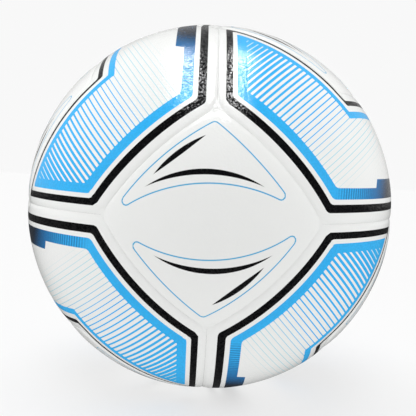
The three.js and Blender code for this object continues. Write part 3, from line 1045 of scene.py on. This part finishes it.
# The studio that gloss reflects: a wall behind the ball, and two strip lamps that run overhead,
# one on each side of a middle line. Places in it are parts of a direction of length 1.
LAMP_MIDDLE = 0.03                       # how far to the left their middle line lies
LAMP_HEIGHT = (0.88, 0.92)
LAMP_INNER_EDGE = (0.08, 0.11)
LAMP_OUTER_EDGE = (0.24, 0.28)
LAMP_BRIGHTNESS = 12.0
WALL_RISE = (0.0, 0.8)                   # from the side of the ball to behind it
WALL_BRIGHTNESS = 0.85
WALL_GLOSS_CUT = 0.5                     # taken off that for gloss
LEAST_BRIGHTNESS = 0.05

LENS = 70.8
CAMERA_DISTANCE = 4.608                  # ball radii
CAMERA_DIRECTION = (-0.0168, -0.9975, 0.0690)
CAMERA_TARGET = (-0.0008, 0.0, -0.00085)
CAMERA_UPWARD = (-0.0447, 0.0697, 0.9966)


def make_floor():
    """A plain pale floor. The camera sees it shaded; to the ball it is an even glow from below,
    which gloss hardly reflects."""
    signs = ((-1, -1), (1, -1), (1, 1), (-1, 1))
    corners = [(x * FLOOR_HALF, y * FLOOR_HALF, -BALL_RADIUS) for x, y in signs]
    mesh = bpy.data.meshes.new("floor")
    mesh.from_pydata(corners, [], [(0, 1, 2, 3)])
    floor = bpy.data.objects.new("floor", mesh)
    bpy.context.scene.collection.objects.link(floor)
    material, tree, shader = new_material("pale_floor")
    rays = tree.nodes.new("ShaderNodeLightPath")
    seen = Wire(tree, rays.outputs["Is Camera Ray"])
    gloss = Wire(tree, rays.outputs["Is Glossy Ray"])
    glow = seen * -FLOOR_SEEN_CUT - gloss * FLOOR_GLOSS_CUT + FLOOR_GLOW
    connect(tree, glow, shader.inputs["Emission Strength"])
    colour = mixed(tree, seen, UNSEEN_FLOOR, SEEN_FLOOR)
    connect(tree, colour, shader.inputs["Base Color"])
    shader.inputs["Emission Color"].default_value = (1.0, 1.0, 1.0, 1)
    shader.inputs["Roughness"].default_value = 1.0
    shader.inputs["Specular IOR Level"].default_value = 0.0
    floor.data.materials.append(material)


def make_soft_light(name, towards, energy, angle):
    """A light from one side, as broad as `angle`. Gloss doesn't reflect it."""
    light = bpy.data.lights.new(name, "SUN")
    light.energy = energy
    light.angle = angle * DEGREE
    lamp = bpy.data.objects.new(name, light)
    lamp.rotation_euler = Vector(towards).to_track_quat("-Z", "Y").to_euler()
    lamp.visible_glossy = False
    bpy.context.scene.collection.objects.link(lamp)


def make_lights():
    """Soft lights, and a studio that gloss reflects: two strip lamps overhead, a bright side
    behind the ball and a dark side in front of it."""
    for name, (towards, energy, angle) in SOFT_LIGHTS.items():
        make_soft_light(name, towards, energy, angle)

    world = bpy.data.worlds.new("studio")
    world.use_nodes = True
    tree = world.node_tree
    direction = tree.nodes.new("ShaderNodeTexCoord")
    axes = tree.nodes.new("ShaderNodeSeparateXYZ")
    tree.links.new(direction.outputs["Generated"], axes.inputs["Vector"])
    sideways, backward, upward = (Wire(tree, axes.outputs[i]) for i in range(3))
    rays = tree.nodes.new("ShaderNodeLightPath")
    seen = Wire(tree, rays.outputs["Is Camera Ray"])
    gloss = Wire(tree, rays.outputs["Is Glossy Ray"])
    lane = (sideways + LAMP_MIDDLE).absolute()
    lamps = upward.ramp(*LAMP_HEIGHT) * lane.ramp(*LAMP_INNER_EDGE)
    lamps = lamps * lane.ramp(*LAMP_OUTER_EDGE).inverse()
    wall = backward.ramp(*WALL_RISE) * (gloss * -WALL_GLOSS_CUT + WALL_BRIGHTNESS)
    strength = wall + LEAST_BRIGHTNESS + lamps * gloss * LAMP_BRIGHTNESS
    strength = strength + seen * (ROOM_BRIGHTNESS - strength)
    background = tree.nodes["Background"]
    background.inputs["Color"].default_value = (1.0, 1.0, 1.0, 1)
    connect(tree, strength, background.inputs["Strength"])
    bpy.context.scene.world = world


def make_camera():
    """A short telephoto a little above the ball's middle, rolled slightly."""
    camera = bpy.data.objects.new("camera", bpy.data.cameras.new("camera"))
    camera.data.lens = LENS
    camera.data.sensor_width = 36.0
    distance = CAMERA_DISTANCE * BALL_RADIUS
    place = Vector(CAMERA_DIRECTION).normalized() * distance
    outward = (place - Vector(CAMERA_TARGET)).normalized()
    right = Vector(CAMERA_UPWARD).cross(outward).normalized()
    turn = Matrix((right, outward.cross(right), outward)).transposed()
    camera.matrix_world = Matrix.Translation(place) @ turn.to_4x4()
    camera.data.clip_start = 0.01
    bpy.context.scene.collection.objects.link(camera)
    bpy.context.scene.camera = camera


bpy.context.scene.view_settings.view_transform = "Standard"
make_camera()
foam_material = plain_material(
    "cell_foam", light=(0.72, 0.68, 0.58, 1), dark=(0.62, 0.58, 0.48, 1), blotch=12 * MM,
    roughness=0.8, grain_size=0.6 * MM, grain_depth=0.1 * MM)
make_squares(white_cover_material(), foam_material)
make_strips(printed_cover_material(), foam_material)
make_turned_pieces()
make_floor()
make_lights()
